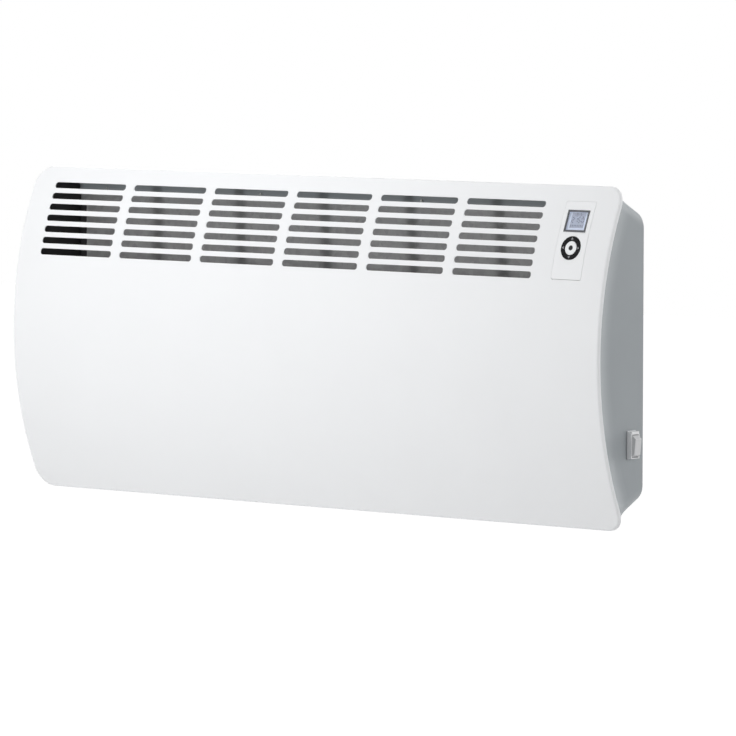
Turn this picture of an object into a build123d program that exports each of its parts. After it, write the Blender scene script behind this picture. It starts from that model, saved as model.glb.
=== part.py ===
from build123d import *
import functools
import math
import os

# Wall convector heater. Millimetres. +X is to the right of someone facing the heater, the front
# faces -Y, the wall is the plane Y = 0 and +Z is up. The origin is the centre of the four
# wall-screw holes of the bracket, on the wall plane at the panel's mid-height.

# Overall form
panel_width = 1090.0
panel_height = 470.0
overall_depth = 126.0
bow_radius = 505.0

# Front panel
panel_sheet = 1.0
panel_rim_depth = 5.5
panel_corner_radius = 28.0
panel_edge_radius = 3.2

# Brackets that join the front panel to the channels
bracket_strip_width = 30.0
bracket_strip_sheet = 1.5
bracket_strip_height = 12.0
bracket_strip_edge = 7.0
bracket_strip_side_margin = 145.0

# Outlet grille in the front panel: seven rows of punched slots, as many columns as fit
slot_rows = 7
slot_length = 139.0
slot_height = 9.6
slot_end_radius = 4.2
slot_column_pitch = 155.9
slot_row_pitch = 16.86
grille_side_margin = 44.2
grille_top_margin = 29.3
grille_plate_margin = 30.0

# Grey casing behind the panel
casing_overhang = 3.0
casing_corner_radius = 20.0
rim_gap = 0.5
front_overrun = 1.0
side_setback = 20.0
side_flare_depth = 46.0
wall_setback = 36.0
cheek_wall = 2.2
channel_sheet = 1.0
cheek_width = 45.0
ledge_width = 12.0
ledge_sheet = 2.0
wall_gap = 0.5

# Rear panel and what it carries
rear_recess = 21.0
rear_sheet = 0.8
rear_panel_gap = 0.3
screw_head_radius = 3.2
screw_head_height = 2.0
screw_shank_radius = 1.6
screw_hole_gap = 0.15
screw_length = 6.0
screw_edge_distance = 6.0
channel_screws = 4
channel_screw_margin = 50.0
upper_cheek_screw_margin = 115.0
lower_cheek_screw_margin = 175.0
buffer_radius = 12.0
buffer_side_margin = 125.0
buffer_end_margin = 70.0

# Air inlet slots in the bottom channel
inlet_slot_width = 6.0
inlet_slot_margin = 6.0
inlet_slot_pitch = 14.0
inlet_side_margin = 125.0

# Wall bracket
bracket_sheet = 2.0
upright_spacing = 520.0
upright_width = 40.0
upright_depth = 16.0
upright_height = 300.0
rail_height = 30.0
rail_spacing = 260.0
rail_notch_gap = 0.5
wall_screw_spacing_z = 220.0
wall_screw_hole_radius = 3.25
rivet_radius = 2.0
rivet_head_radius = 3.6
rivet_head_height = 1.2
rivet_inset = 10.0
hook_width = 30.0
hook_thickness = 2.5
hook_lip = 8.0
hook_reach = 6.5
upper_hook_z = 80.0
lower_hook_z = -90.0
hook_seat_gap = 0.3
hook_side_gap = 1.5
lift_travel = 9.0
lift_clearance = 1.5

# Inner walls and baffles
partition_margin = 115.0
bulkhead_margin = 39.0
bulkhead_sheet = 1.2
bulkhead_gap = 0.5
bulkhead_flange = 12.0
bulkhead_flange_margin = 19.0
bulkhead_front_setback = 1.5
shield_sheet = 0.8
shield_stand_off = 8.0
shield_bottom_margin = 53.0
shield_above_element = 70.0
baffle_sheet = 0.8
baffle_stand_off = 11.0
baffle_bottom_margin = 49.0
baffle_above_element = 192.0

# Heating element
element_y = -66.0
element_above_base = 115.0
element_tube_radius = 4.2
element_hub_radius = 7.2
element_blade_length = 30.0
element_blade_sheet = 1.6
element_blade_angle = 45.0
element_end_gap = 14.0
bush_gap = 0.15
bush_hub_radius = 8.0
bush_flange_radius = 12.0
bush_flange_thickness = 3.0
tube_overrun = 5.0
pin_radius = 1.2
pin_length = 9.0
pin_offset = 2.2

# Bimetal cut-out on the partition
cutout_y = -62.0
cutout_above_element = 50.0
cutout_radius = 8.0
cutout_cap_length = 3.0
cutout_body_length = 9.0
cutout_ear_length = 30.0
cutout_ear_width = 10.0
cutout_ear_sheet = 0.8
cutout_blade_length = 8.0

# Control plate in the front panel
plate_width = 52.0
plate_length = 111.8
plate_side_margin = 40.0
plate_top_margin = 23.2
plate_gap = 0.35
plate_lifting_gap = 0.6
plate_flange_setback = 3.0
plate_thickness = 3.0
plate_corner_radius = 3.0
plate_flange = 4.0

# Display
display_drop = 28.8
display_width = 37.5
display_height = 31.5
display_frame_width = 2.6
display_fit_gap = 0.15
display_proud = 0.4
display_window_setback = 0.9
display_window_thickness = 1.5
display_rebate = 1.2
display_glass_thickness = 2.6
display_light_thickness = 4.4

# Key ring
ring_drop = 67.3
ring_outer_radius = 16.5
ring_inner_radius = 10.2
ring_opening_gap = 0.35
key_split_gap = 0.6
ok_radius = 9.7
ok_proud = 0.3
ring_proud = 0.6
key_travel = 0.7
key_seat_gap = 0.4
key_flange_thickness = 1.0
key_flange_overlap = 1.9
key_stem_radius = 1.6
key_stem_gap = 0.25
key_bottom_depth = 8.0
switch_gap = 0.4
carrier_wall = 1.4
carrier_plate = 1.5
carrier_depth = 5.9
carrier_side_gap = 0.35

# Control board and its housing
board_width = 48.0
board_height = 100.0
board_sheet = 1.6
board_depth = 14.0
tact_size = 6.0
tact_height = 3.4
tact_plunger_radius = 1.5
housing_wall = 1.8
housing_gap = 1.8
housing_depth = 24.0
post_radius = 2.6
post_inset = 4.0

# Power board on the partition
spacer_height = 9.8
spacer_radius = 3.0
spacer_inset = 5.0
power_board_sheet = 1.6
power_board_back_gap = 17.0
power_board_depth = 58.0
power_board_above_element = 70.0
power_board_height = 112.0
power_strip_depth = 12.0
power_strip_width = 10.0
power_strip_height = 60.0
power_strip_inset = 2.0
power_strip_pitch = 12.0
power_strip_hole_depth = 3.0
power_strip_hole_radius = 2.5
relay_size = (15.0, 15.5, 19.0)
core_size = (22.0, 26.0, 32.0)
coil_size = (25.0, 18.0, 20.0)
capacitor_radius = 5.0
capacitor_length = 16.0

# Mains switch on the right cheek
switch_y = -26.5
switch_above_base = 116.0
switch_frame_depth = 18.0
switch_frame_height = 39.0
switch_frame_proud = 7.5
switch_frame_top_slope = 4.5
switch_frame_bottom_slope = 0.8
switch_frame_rim = 1.7
switch_body_rim = 0.9
switch_slot_width = 1.0
switch_body_inset = 12.0
switch_opening_gap = 0.2
switch_notch_gap = 0.5
rocker_pivot_proud = 2.5
rocker_pivot_drop = 1.5
rocker_gap = 0.35
rocker_tilt = 6.0
rocker_face_distance = 9.8
rocker_face_half_length = 11.0
rocker_shoulder_distance = 4.5
rocker_radius = 15.6
rocker_foot_distance = 7.0
rocker_foot_half_length = 10.5
rocker_edge_radius = 1.0
rocker_pin_radius = 1.2
rocker_pin_length = 0.9
rocker_pin_gap = 0.15
rocker_floor_gap = 0.8
contact_length = 14.0
contact_depth = 13.0
contact_height = 28.0
contact_blade_length = 8.0
contact_blade_width = 6.3
contact_blade_sheet = 0.8
contact_spacing_y = 7.0
contact_spacing_z = 14.0

# Mains terminal block and cord entry
terminal_side_margin = 83.0
terminal_above_base = 67.0
terminal_width = 36.0
terminal_depth = 15.0
terminal_height = 14.0
terminal_ways = 3
terminal_screw_radius = 2.5
gland_side_margin = 70.0
gland_above_base = 140.0
gland_bore_radius = 3.6
gland_body_radius = 7.5
gland_hole_gap = 0.2
gland_flange_radius = 11.0
gland_flange_thickness = 3.0
gland_nozzle_radius = 6.2
gland_nozzle_length = 8.0
gland_inner_length = 9.0
gland_nut_across = 21.0
gland_nut_thickness = 4.5

# Room-temperature probe in the control compartment
sensor_side_margin = 42.0
sensor_above_base = 63.0
sensor_radius = 2.5
sensor_length = 18.0
sensor_gap = 0.1
sensor_stand_off = 6.0
sensor_holder_wall = 1.8
sensor_holder_height = 8.0

# Wires between the pieces in the control compartment
lead_radius = 1.3
lead_run = 10.0

# Places worked out from the sizes above
half_width = panel_width / 2
half_height = panel_height / 2
edge_arc = bow_radius * math.asin(half_height / bow_radius)
bow_axis_y = bow_radius - overall_depth
rim_radius = bow_radius - panel_rim_depth
panel_inner_radius = bow_radius - panel_sheet
plate_right = half_width - plate_side_margin
plate_left = plate_right - plate_width
plate_top_arc = edge_arc - plate_top_margin
plate_bottom_arc = plate_top_arc - plate_length
control_x = (plate_left + plate_right) / 2
control_arc = (plate_bottom_arc + plate_top_arc) / 2
display_arc = plate_top_arc - display_drop
ring_arc = plate_top_arc - ring_drop
first_slot_left = -half_width + grille_side_margin
top_row_arc = edge_arc - grille_top_margin
grille_width = plate_left - grille_plate_margin - first_slot_left
slot_columns = int((grille_width + slot_column_pitch - slot_length) / slot_column_pitch)
casing_front_radius = rim_radius - rim_gap
casing_front_half_width = half_width - casing_overhang
casing_front_half_height = half_height - casing_overhang
casing_front_y = bow_axis_y - math.sqrt(casing_front_radius ** 2 - casing_front_half_height ** 2)
side_x = half_width - side_setback
wall_half_height = half_height - wall_setback
casing_slope = math.atan2(casing_front_half_height - wall_half_height, -casing_front_y)
side_flare_rise = casing_front_half_width - side_x
split_x = half_width - cheek_width
rear_back_y = -rear_recess
rear_front_y = rear_back_y - rear_sheet
ledge_front_y = rear_front_y - ledge_sheet
upright_x = upright_spacing / 2
rail_z = rail_spacing / 2
partition_x = half_width - partition_margin
bulkhead_x = -half_width + bulkhead_margin
element_z = -half_height + element_above_base
cutout_z = element_z + cutout_above_element
power_board_back = rear_front_y - power_board_back_gap
power_board_low = element_z + power_board_above_element
power_board_y = (power_board_back - power_board_depth, power_board_back)
power_board_z = (power_board_low, power_board_low + power_board_height)
switch_z = -half_height + switch_above_base
rocker_pivot_x = side_x + rocker_pivot_proud
rocker_pivot_z = switch_z - rocker_pivot_drop
terminal_x = half_width - terminal_side_margin
terminal_z = -half_height + terminal_above_base
gland_x = half_width - gland_side_margin
gland_z = -half_height + gland_above_base
sensor_x = half_width - sensor_side_margin
sensor_z = -half_height + sensor_above_base
far = panel_width


def block(x0, x1, y0, y1, z0, z1):
    """A box given by its two corners."""
    middle = ((x0 + x1) / 2, (y0 + y1) / 2, (z0 + z1) / 2)
    return Pos(*middle) * Box(abs(x1 - x0), abs(y1 - y0), abs(z1 - z0))


def rod(start, end, radius):
    """A round bar between two points."""
    axis = Vector(*end) - Vector(*start)
    plane = Plane(origin=start, z_dir=axis)
    return extrude(plane * Circle(radius), axis.length)


def joined(shapes):
    """Separate or touching solids as one part."""
    total = Part() + shapes[0]
    for shape in shapes[1:]:
        total += shape
    return total


def bow_cylinder(radius):
    """A full cylinder about the axis of the panel's bow."""
    return Pos(0, bow_axis_y, 0) * Rot(0, 90, 0) * Cylinder(radius, 2 * far)


def bow_depth(radius, z):
    """The Y of the bow cylinder of this radius at a height z."""
    return bow_axis_y - math.sqrt(radius ** 2 - z ** 2)


def bow_plane(x, arc, depth=0.0):
    """A plane on the bowed face: origin at a distance along its arc, z outward, x to the right."""
    angle = arc / bow_radius
    outward = (0, -math.cos(angle), math.sin(angle))
    radius = bow_radius - depth
    origin = (x, bow_axis_y + radius * outward[1], radius * outward[2])
    return Plane(origin=origin, x_dir=(1, 0, 0), z_dir=outward)


def front_prism(width, height, corner, back_y):
    """A rounded rectangle seen from the front, from in front of the heater back to back_y."""
    plane = Plane(origin=(0, back_y, 0), x_dir=(1, 0, 0), z_dir=(0, -1, 0))
    return extrude(plane * RectangleRounded(width, height, corner), 2 * overall_depth)


def offset_flare(rise, depth, inset):
    """Depth over which a concave flare of this rise runs once it is drawn in by inset."""
    radius = (depth ** 2 + rise ** 2) / (2 * rise) + inset
    return math.sqrt(2 * radius * rise - rise ** 2)


def panel_block(inset, inner_radius):
    """The bowed block of the front panel, drawn in by inset on its face and all its sides."""
    face_radius = bow_radius - inset
    outline = front_prism(panel_width - 2 * inset, panel_height - 2 * inset,
                          panel_corner_radius - inset, -rear_recess)
    solid = (bow_cylinder(face_radius) - bow_cylinder(inner_radius)) & outline
    rim = []
    for edge in solid.edges():
        point = edge.position_at(0.5)
        if abs(math.hypot(point.Y - bow_axis_y, point.Z) - face_radius) < 0.01:
            rim.append(edge)
    return fillet(rim, panel_edge_radius - inset)


def grille_slots():
    """Cutters for all the punched slots, each square to the bowed face."""
    cutters = []
    for row in range(slot_rows):
        arc = top_row_arc - row * slot_row_pitch
        for column in range(slot_columns):
            x = first_slot_left + slot_length / 2 + column * slot_column_pitch
            outline = RectangleRounded(slot_length, slot_height, slot_end_radius)
            plane = bow_plane(x, arc, 3 * panel_sheet)
            cutters.append(extrude(plane * outline, 6 * panel_sheet))
    return cutters


def plate_prism(grow, depth, lower_cut=0.0):
    """The control plate's outline, larger by grow all round but cut short at its lower edge."""
    width = plate_right - plate_left + 2 * grow
    arc_length = plate_top_arc - plate_bottom_arc
    height = 2 * bow_radius * math.sin(arc_length / 2 / bow_radius) + 2 * grow - lower_cut
    outline = Pos(0, lower_cut / 2) * RectangleRounded(width, height, plate_corner_radius + grow)
    return extrude(bow_plane(control_x, control_arc, depth) * outline, depth + panel_rim_depth)


def front_panel():
    """Bowed white sheet with a folded rim, the grille slots and the control plate's opening."""
    shell = panel_block(0.0, rim_radius) - panel_block(panel_sheet, rim_radius - panel_sheet)
    return shell - grille_slots() - plate_prism(0.0, 2 * panel_rim_depth)


def casing_half_height(y, inset):
    """Height of the casing's sloping top or bottom over the middle, at a depth y, drawn in by inset."""
    return wall_half_height - y * math.tan(casing_slope) - inset / math.cos(casing_slope)


@functools.lru_cache(maxsize=None)
def casing_core(inset, back_y):
    """The grey casing's outer form drawn in by inset, from back_y to its front edge."""
    wall_x = side_x - inset
    front_x = casing_front_half_width - inset
    flare_end = casing_front_radius + front_overrun
    flare_start = flare_end - offset_flare(side_flare_rise, side_flare_depth, inset)
    deep = bow_axis_y - rear_recess
    with BuildSketch(Plane.XY) as side_half:
        with BuildLine():
            TangentArc((wall_x, flare_start), (front_x, flare_end), tangent=(0, 1))
            Polyline((wall_x, flare_start), (wall_x, deep), (0, deep), (0, flare_end), (front_x, flare_end))
        make_face()
    side_face = side_half.sketch + mirror(side_half.sketch, Plane.YZ)
    half_turn = 40
    bow_axis = Axis((0, bow_axis_y, 0), (1, 0, 0))
    upright = Plane(origin=(0, bow_axis_y, 0), x_dir=(1, 0, 0), z_dir=(0, 0, -1))
    between_sides = revolve(upright * side_face, bow_axis, 2 * half_turn).rotate(bow_axis, -half_turn)

    front_y = -2 * overall_depth
    back_z = casing_half_height(back_y, inset)
    front_z = casing_half_height(front_y, inset)
    with BuildSketch(Plane.YZ) as side_view:
        with BuildLine():
            Polyline((back_y, back_z), (front_y, front_z), (front_y, -front_z), (back_y, -back_z),
                     (back_y, back_z))
        make_face()
    solid = between_sides & extrude(side_view.sketch, far, both=True) & bow_cylinder(casing_front_radius)
    corners = []
    for edge in solid.edges():
        middle = edge.center()
        along_corner = abs(middle.X) > wall_x - 0.5 and abs(middle.Z) > back_z - 0.5
        if along_corner and middle.Y < back_y - 0.01:
            corners.append(edge)
    return fillet(corners, casing_corner_radius - inset)


def casing_ring(wall):
    """The whole casing wall of this thickness, with the ledge that the rear panel is screwed to."""
    inner = casing_core(wall, -wall_gap)
    shell = casing_core(0.0, -wall_gap) - inner
    slab = block(-far, far, ledge_front_y, rear_front_y, -far, far)
    ledge = (inner & slab) - casing_core(wall + ledge_width, -wall_gap)
    return shell + ledge


def rear_screw_places():
    """X and Z of the screws that hold the rear panel to the channels and the cheeks."""
    channel_z = casing_half_height(rear_front_y, channel_sheet) - screw_edge_distance
    cheek_x = side_x - cheek_wall - screw_edge_distance
    last_x = split_x - channel_screw_margin
    places = []
    for index in range(channel_screws):
        x = -last_x + 2 * last_x * index / (channel_screws - 1)
        places += [(x, channel_z), (x, -channel_z)]
    for x in (-cheek_x, cheek_x):
        places.append((x, half_height - upper_cheek_screw_margin))
        places.append((x, -half_height + lower_cheek_screw_margin))
    return places


def rear_screw_rods(radius, length):
    """Cylinders at every rear screw, from the panel's back face forward."""
    return [rod((x, rear_back_y, z), (x, rear_back_y - length, z), radius)
            for x, z in rear_screw_places()]


def switch_cutter(grow, inset):
    """The mains switch's body, larger by grow, from inset behind the cheek's face outward."""
    half_depth = switch_frame_depth / 2 - switch_body_rim + grow
    half_long = switch_frame_height / 2 - switch_body_rim + grow
    return block(side_x - inset - grow, side_x + switch_frame_proud,
                 switch_y - half_depth, switch_y + half_depth,
                 switch_z - half_long, switch_z + half_long)


def switch_reach():
    """How far the mains switch reaches behind the cheek's face, with its blades."""
    return switch_body_inset + contact_length + contact_blade_length


def switch_clip_slot():
    """Cutter for the narrow slot in the cheek along the front of the mains switch."""
    front = switch_y - switch_frame_depth / 2
    half_long = switch_frame_height / 2
    return block(side_x - 2 * cheek_wall, side_x + switch_frame_proud, front - switch_slot_width, front,
                 switch_z - half_long, switch_z + half_long)


def side_cheeks():
    """Left and right grey end mouldings; the right one has the mains switch's opening."""
    ring = casing_ring(cheek_wall) - rear_screw_rods(screw_shank_radius + screw_hole_gap, screw_length * 2)
    left = ring & block(-far, -split_x, -far, far, -far, far)
    right = ring & block(split_x, far, -far, far, -far, far)
    ledge_cut = switch_cutter(switch_notch_gap, switch_reach())
    ledge_cut &= block(0, side_x - cheek_wall, -far, far, -far, far)
    right -= switch_cutter(switch_opening_gap, switch_body_inset)
    return left, right - switch_clip_slot() - ledge_cut


def inlet_slots():
    """Cutters for the row of air inlets along the bottom channel, as many as fit."""
    cutters = []
    front_y = casing_front_y + inlet_slot_margin
    back_y = ledge_front_y - inlet_slot_margin
    last_x = split_x - inlet_side_margin / 2
    count = int(2 * last_x / inlet_slot_pitch)
    outline = RectangleRounded(back_y - front_y, inlet_slot_width, inlet_slot_width * 0.49)
    for index in range(count):
        x = (index - (count - 1) / 2) * inlet_slot_pitch
        plane = Plane(origin=(x, (front_y + back_y) / 2, -half_height), x_dir=(0, 1, 0), z_dir=(0, 0, 1))
        cutters.append(extrude(plane * outline, wall_setback + ledge_width))
    return cutters


def channels():
    """Top and bottom grey sheet channels between the cheeks; air enters through the bottom one."""
    ring = casing_ring(channel_sheet) - rear_screw_rods(screw_shank_radius + screw_hole_gap, screw_length * 2)
    top = ring & block(-split_x, split_x, -far, far, 0, far)
    bottom = ring & block(-split_x, split_x, -far, far, -far, 0)
    return top, bottom - inlet_slots()


def hook_slots():
    """Cutters for the slots by which the rear panel hangs on the bracket's hooks."""
    half = hook_width / 2 + hook_side_gap
    low = hook_thickness + lift_travel + lift_clearance
    cutters = []
    for x in (-upright_x, upright_x):
        for z in (upper_hook_z, lower_hook_z):
            cutters.append(block(x - half, x + half, -far, 0, z - low, z + hook_seat_gap))
    return cutters


def rear_panel():
    """Flat galvanised sheet that closes the casing, recessed for the wall bracket."""
    slab = block(-far, far, rear_front_y, rear_back_y, -far, far)
    sheet = casing_core(cheek_wall + rear_panel_gap, -wall_gap) & slab
    sheet -= hook_slots()
    sheet -= rear_screw_rods(screw_shank_radius + screw_hole_gap, screw_length)
    sheet -= switch_cutter(switch_notch_gap, switch_reach())
    gland_hole = gland_body_radius + gland_hole_gap
    return sheet - rod((gland_x, 0, gland_z), (gland_x, -far, gland_z), gland_hole)


def rear_panel_screws():
    """Twelve pan-head screws through the rear panel into the ledges."""
    screws = []
    for x, z in rear_screw_places():
        head = rod((x, rear_back_y, z), (x, rear_back_y + screw_head_height, z), screw_head_radius)
        shank = rod((x, rear_back_y, z), (x, rear_back_y - screw_length, z), screw_shank_radius)
        screws.append(head + shank)
    return joined(screws)


def wall_buffers():
    """Four rubber buffers between the rear panel and the wall."""
    outer_x = half_width - buffer_side_margin
    outer_z = half_height - buffer_end_margin
    return joined([rod((x, rear_back_y, z), (x, 0, z), buffer_radius)
                   for x in (-outer_x, outer_x) for z in (-outer_z, outer_z)])


def bulkhead(x, flange_sign):
    """An inner cross wall at x with a flange against the rear panel on its flange_sign side."""
    inset = cheek_wall + bulkhead_gap
    slab = block(x, x + flange_sign * bulkhead_sheet, -far, rear_front_y, -far, far)
    front = bow_cylinder(casing_front_radius - bulkhead_front_setback)
    sheet = casing_core(inset, -wall_gap) & slab & front
    past_ledge = sheet & block(-far, far, -far, ledge_front_y - bulkhead_gap, -far, far)
    sheet = past_ledge + (sheet & casing_core(inset + ledge_width, -wall_gap))
    flange_end = wall_half_height - bulkhead_flange_margin
    flange = block(x, x + flange_sign * bulkhead_flange, rear_front_y - bulkhead_sheet, rear_front_y,
                   -flange_end, flange_end)
    return sheet + flange


def partition_plate():
    """The wall between the hot chamber and the control compartment, with the element's holes."""
    plate = bulkhead(partition_x, 1)
    hole = bush_hub_radius + bush_gap
    plate -= rod((0, element_y, element_z), (far, element_y, element_z), hole)
    cap = cutout_radius + bush_gap
    return plate - rod((0, cutout_y, cutout_z), (far, cutout_y, cutout_z), cap)


def left_bulkhead():
    """The left wall of the hot chamber, which holds the element's closed end."""
    hole = bush_hub_radius + bush_gap
    wall = bulkhead(bulkhead_x, 1)
    return wall - rod((0, element_y, element_z), (-far, element_y, element_z), hole)


def heat_shield():
    """Bright sheet behind the element that keeps heat off the rear panel."""
    y = rear_front_y - shield_stand_off
    return block(bulkhead_x + bulkhead_sheet, partition_x, y - shield_sheet, y,
                 -half_height + shield_bottom_margin, element_z + shield_above_element)


def front_baffle():
    """Bowed sheet in front of the element that keeps the front panel cooler."""
    outer = panel_inner_radius - baffle_stand_off
    sheet = bow_cylinder(outer) - bow_cylinder(outer - baffle_sheet)
    return sheet & block(bulkhead_x + bulkhead_sheet, partition_x, -2 * overall_depth, rear_front_y,
                         -half_height + baffle_bottom_margin, element_z + baffle_above_element)


def element_ends():
    """X of the outer faces of the left bulkhead and the partition."""
    return bulkhead_x, partition_x + bulkhead_sheet


def element_tube():
    """Round sheathed heating rod that runs through both bushes."""
    left, right = element_ends()
    return rod((left - tube_overrun, element_y, element_z),
               (right + tube_overrun, element_y, element_z), element_tube_radius)


def element_fins():
    """Aluminium profile with four blades in an X, pressed round the heating rod."""
    left = bulkhead_x + bulkhead_sheet + element_end_gap
    right = partition_x - element_end_gap
    plane = Plane(origin=(left, element_y, element_z), x_dir=(0, 1, 0), z_dir=(1, 0, 0))
    section = Sketch() + Circle(element_hub_radius)
    for turn in (element_blade_angle, -element_blade_angle):
        section += Rot(0, 0, turn) * Rectangle(2 * element_blade_length, element_blade_sheet)
        for end in (-1, 1):
            tip = Pos(end * element_blade_length, 0, 0)
            section += Rot(0, 0, turn) * tip * Rectangle(element_blade_sheet, 3 * element_blade_sheet)
    section -= Circle(element_tube_radius)
    return extrude(plane * section, right - left)


def element_bushes():
    """Ceramic bushes that carry the heating rod in the two cross walls."""
    bushes = []
    for face_x, inward in ((bulkhead_x + bulkhead_sheet, 1), (partition_x, -1)):
        flange = rod((face_x, element_y, element_z),
                     (face_x + inward * bush_flange_thickness, element_y, element_z), bush_flange_radius)
        hub = rod((face_x, element_y, element_z),
                  (face_x - inward * (bulkhead_sheet + 1), element_y, element_z), bush_hub_radius)
        bore = rod((-far, element_y, element_z), (far, element_y, element_z),
                   element_tube_radius + bush_gap)
        bushes.append(flange + hub - bore)
    return joined(bushes)


def element_pins():
    """Two connection pins in the right-hand end of the heating rod."""
    start = element_ends()[1] + tube_overrun
    return joined([rod((start, element_y + offset, element_z),
                       (start + pin_length, element_y + offset, element_z), pin_radius)
                   for offset in (-pin_offset, pin_offset)])


def thermal_cutout():
    """Bimetal cut-out: its cap reaches through the partition into the hot air."""
    cold_face = partition_x + bulkhead_sheet
    cap = rod((partition_x - cutout_cap_length, cutout_y, cutout_z),
              (cold_face, cutout_y, cutout_z), cutout_radius)
    body = rod((cold_face, cutout_y, cutout_z),
               (cold_face + cutout_body_length, cutout_y, cutout_z), cutout_radius)
    ear = block(cold_face, cold_face + cutout_ear_sheet,
                cutout_y - cutout_ear_length / 2, cutout_y + cutout_ear_length / 2,
                cutout_z - cutout_ear_width / 2, cutout_z + cutout_ear_width / 2)
    end = cold_face + cutout_body_length
    blade_half_width = cutout_radius / 3
    shape = cap + body + ear
    for sign in (-1, 1):
        y = cutout_y + sign * cutout_radius / 2
        shape += block(end, end + cutout_blade_length, y - cutout_ear_sheet / 2, y + cutout_ear_sheet / 2,
                       cutout_z - blade_half_width, cutout_z + blade_half_width)
    return shape


def display_prism(width, height, outer, inner):
    """A block on the display's own plane between two levels, measured outward from the bow."""
    plane = bow_plane(control_x, display_arc, -inner)
    return extrude(plane * Rectangle(width, height), outer - inner)


def control_plate():
    """White curved plate with openings for the display and the keys; a blade lifts its lower edge."""
    body_radius = bow_radius - plate_thickness
    body = plate_prism(-plate_gap, 2 * plate_thickness, plate_lifting_gap - plate_gap)
    body &= bow_cylinder(bow_radius) - bow_cylinder(body_radius)
    flange_cut = plate_flange + plate_lifting_gap + plate_flange_setback
    flange = plate_prism(plate_flange, 2 * plate_thickness, flange_cut)
    flange &= bow_cylinder(panel_inner_radius) - bow_cylinder(body_radius)
    plate = body + flange
    opening_width = display_width + 2 * display_fit_gap
    opening_height = display_height + 2 * display_fit_gap
    reach = 3 * plate_thickness
    plate -= display_prism(opening_width, opening_height, reach, -reach)
    ring_hole = extrude(bow_plane(control_x, ring_arc, reach) * Circle(ring_outer_radius + ring_opening_gap),
                        2 * reach)
    return plate - ring_hole


def display_levels():
    """Levels of the display's layers, outward from the bow: face, window, glass, light, back."""
    face = display_proud
    window = face - display_window_setback
    glass = window - display_window_thickness
    light = glass - display_glass_thickness
    return face, window, glass, light, light - display_light_thickness


def display_inside():
    """Width and height of the opening that the display's frame leaves."""
    return display_width - 2 * display_frame_width, display_height - 2 * display_frame_width


def display_bezel():
    """Dark frame round the display with a rebate behind for the window."""
    face, window, glass, light, _ = display_levels()
    width, height = display_inside()
    frame = display_prism(display_width, display_height, face, light)
    frame -= display_prism(width, height, face + 1, light - 1)
    return frame - display_prism(width + 2 * display_rebate, height + 2 * display_rebate, window, light - 1)


def display_layer(outer, inner):
    """One layer of the display stack, as wide as the rebate allows."""
    width, height = display_inside()
    fit = 2 * (display_rebate - display_fit_gap)
    return display_prism(width + fit, height + fit, outer, inner)


def ring_plane(depth=0.0):
    """The key ring's own plane on the bow, or a level below it."""
    return bow_plane(control_x, ring_arc, depth)


def ring_tube(outer, inner, high, low):
    """A ring about the key ring's axis between two levels, measured outward."""
    plane = ring_plane(-low)
    section = Circle(outer)
    if inner > 0:
        section = section - Circle(inner)
    return extrude(plane * section, high - low)


def key_levels():
    """Levels on the key ring's axis: top of the flange, its underside and the stem's end."""
    sag = (ring_outer_radius + key_flange_overlap) ** 2 / (2 * bow_radius)
    flange_top = -plate_thickness - sag - key_seat_gap
    return flange_top, flange_top - key_flange_thickness, -key_bottom_depth


def key_stem_radius_place():
    """Distance of the four outer keys' stems from the ring's axis."""
    return (ring_outer_radius + ring_inner_radius) / 2


def arc_key(turn):
    """One quarter of the black key ring: cap, retaining flange and stem."""
    flange_top, flange_low, stem_end = key_levels()
    cap = ring_tube(ring_outer_radius, ring_inner_radius, ring_proud, flange_low)
    flange = ring_tube(ring_outer_radius + key_flange_overlap, ring_inner_radius, flange_top, flange_low)
    side = 3 * ring_outer_radius
    corner = ring_plane(2 * key_bottom_depth) * Rot(0, 0, turn - 45)
    quarter = corner * Pos(key_split_gap / math.sqrt(2), key_split_gap / math.sqrt(2), 0)
    wedge = extrude(quarter * Pos(side / 2, side / 2, 0) * Rectangle(side, side), 4 * key_bottom_depth)
    angle = math.radians(turn)
    place = Pos(key_stem_radius_place() * math.cos(angle), key_stem_radius_place() * math.sin(angle), 0)
    stem = extrude(ring_plane(-stem_end) * place * Circle(key_stem_radius), flange_low - stem_end)
    return ((cap + flange) & wedge) + stem


def ok_key():
    """White round key in the middle of the ring, with its stem."""
    flange_low = key_levels()[1]
    cap = ring_tube(ok_radius, 0, ok_proud, flange_low)
    cap = fillet(cap.edges().sort_by(Axis((0, 0, 0), ring_plane().z_dir))[-1], ok_proud)
    return cap + ring_tube(key_stem_radius, 0, flange_low, key_levels()[2])


def key_carrier():
    """Guide plate behind the keys, with a hole for each stem and a wall up to the control plate."""
    inside = ring_outer_radius + key_flange_overlap + carrier_side_gap
    outside = inside + carrier_wall
    plate = ring_tube(outside, 0, -carrier_depth, -carrier_depth - carrier_plate)
    wall = ring_tube(outside, inside, 0, -carrier_depth)
    carrier = (plate + wall) & bow_cylinder(bow_radius - plate_thickness)
    hole = key_stem_radius + key_stem_gap
    places = [(0, 0)]
    for turn in (0, 90, 180, 270):
        angle = math.radians(turn)
        places.append((key_stem_radius_place() * math.cos(angle), key_stem_radius_place() * math.sin(angle)))
    for u, v in places:
        through = extrude(ring_plane(2 * carrier_depth) * Pos(u, v, 0) * Circle(hole), 2 * carrier_depth)
        carrier -= through
    return carrier


def board_block(u0, u1, v0, v1, outer, inner):
    """A block on the control board's plane: u to the right, v up the bow, levels outward."""
    plane = bow_plane(control_x, control_arc, -inner)
    outline = Pos((u0 + u1) / 2, (v0 + v1) / 2, 0) * Rectangle(abs(u1 - u0), abs(v1 - v0))
    return extrude(plane * outline, outer - inner)


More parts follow.
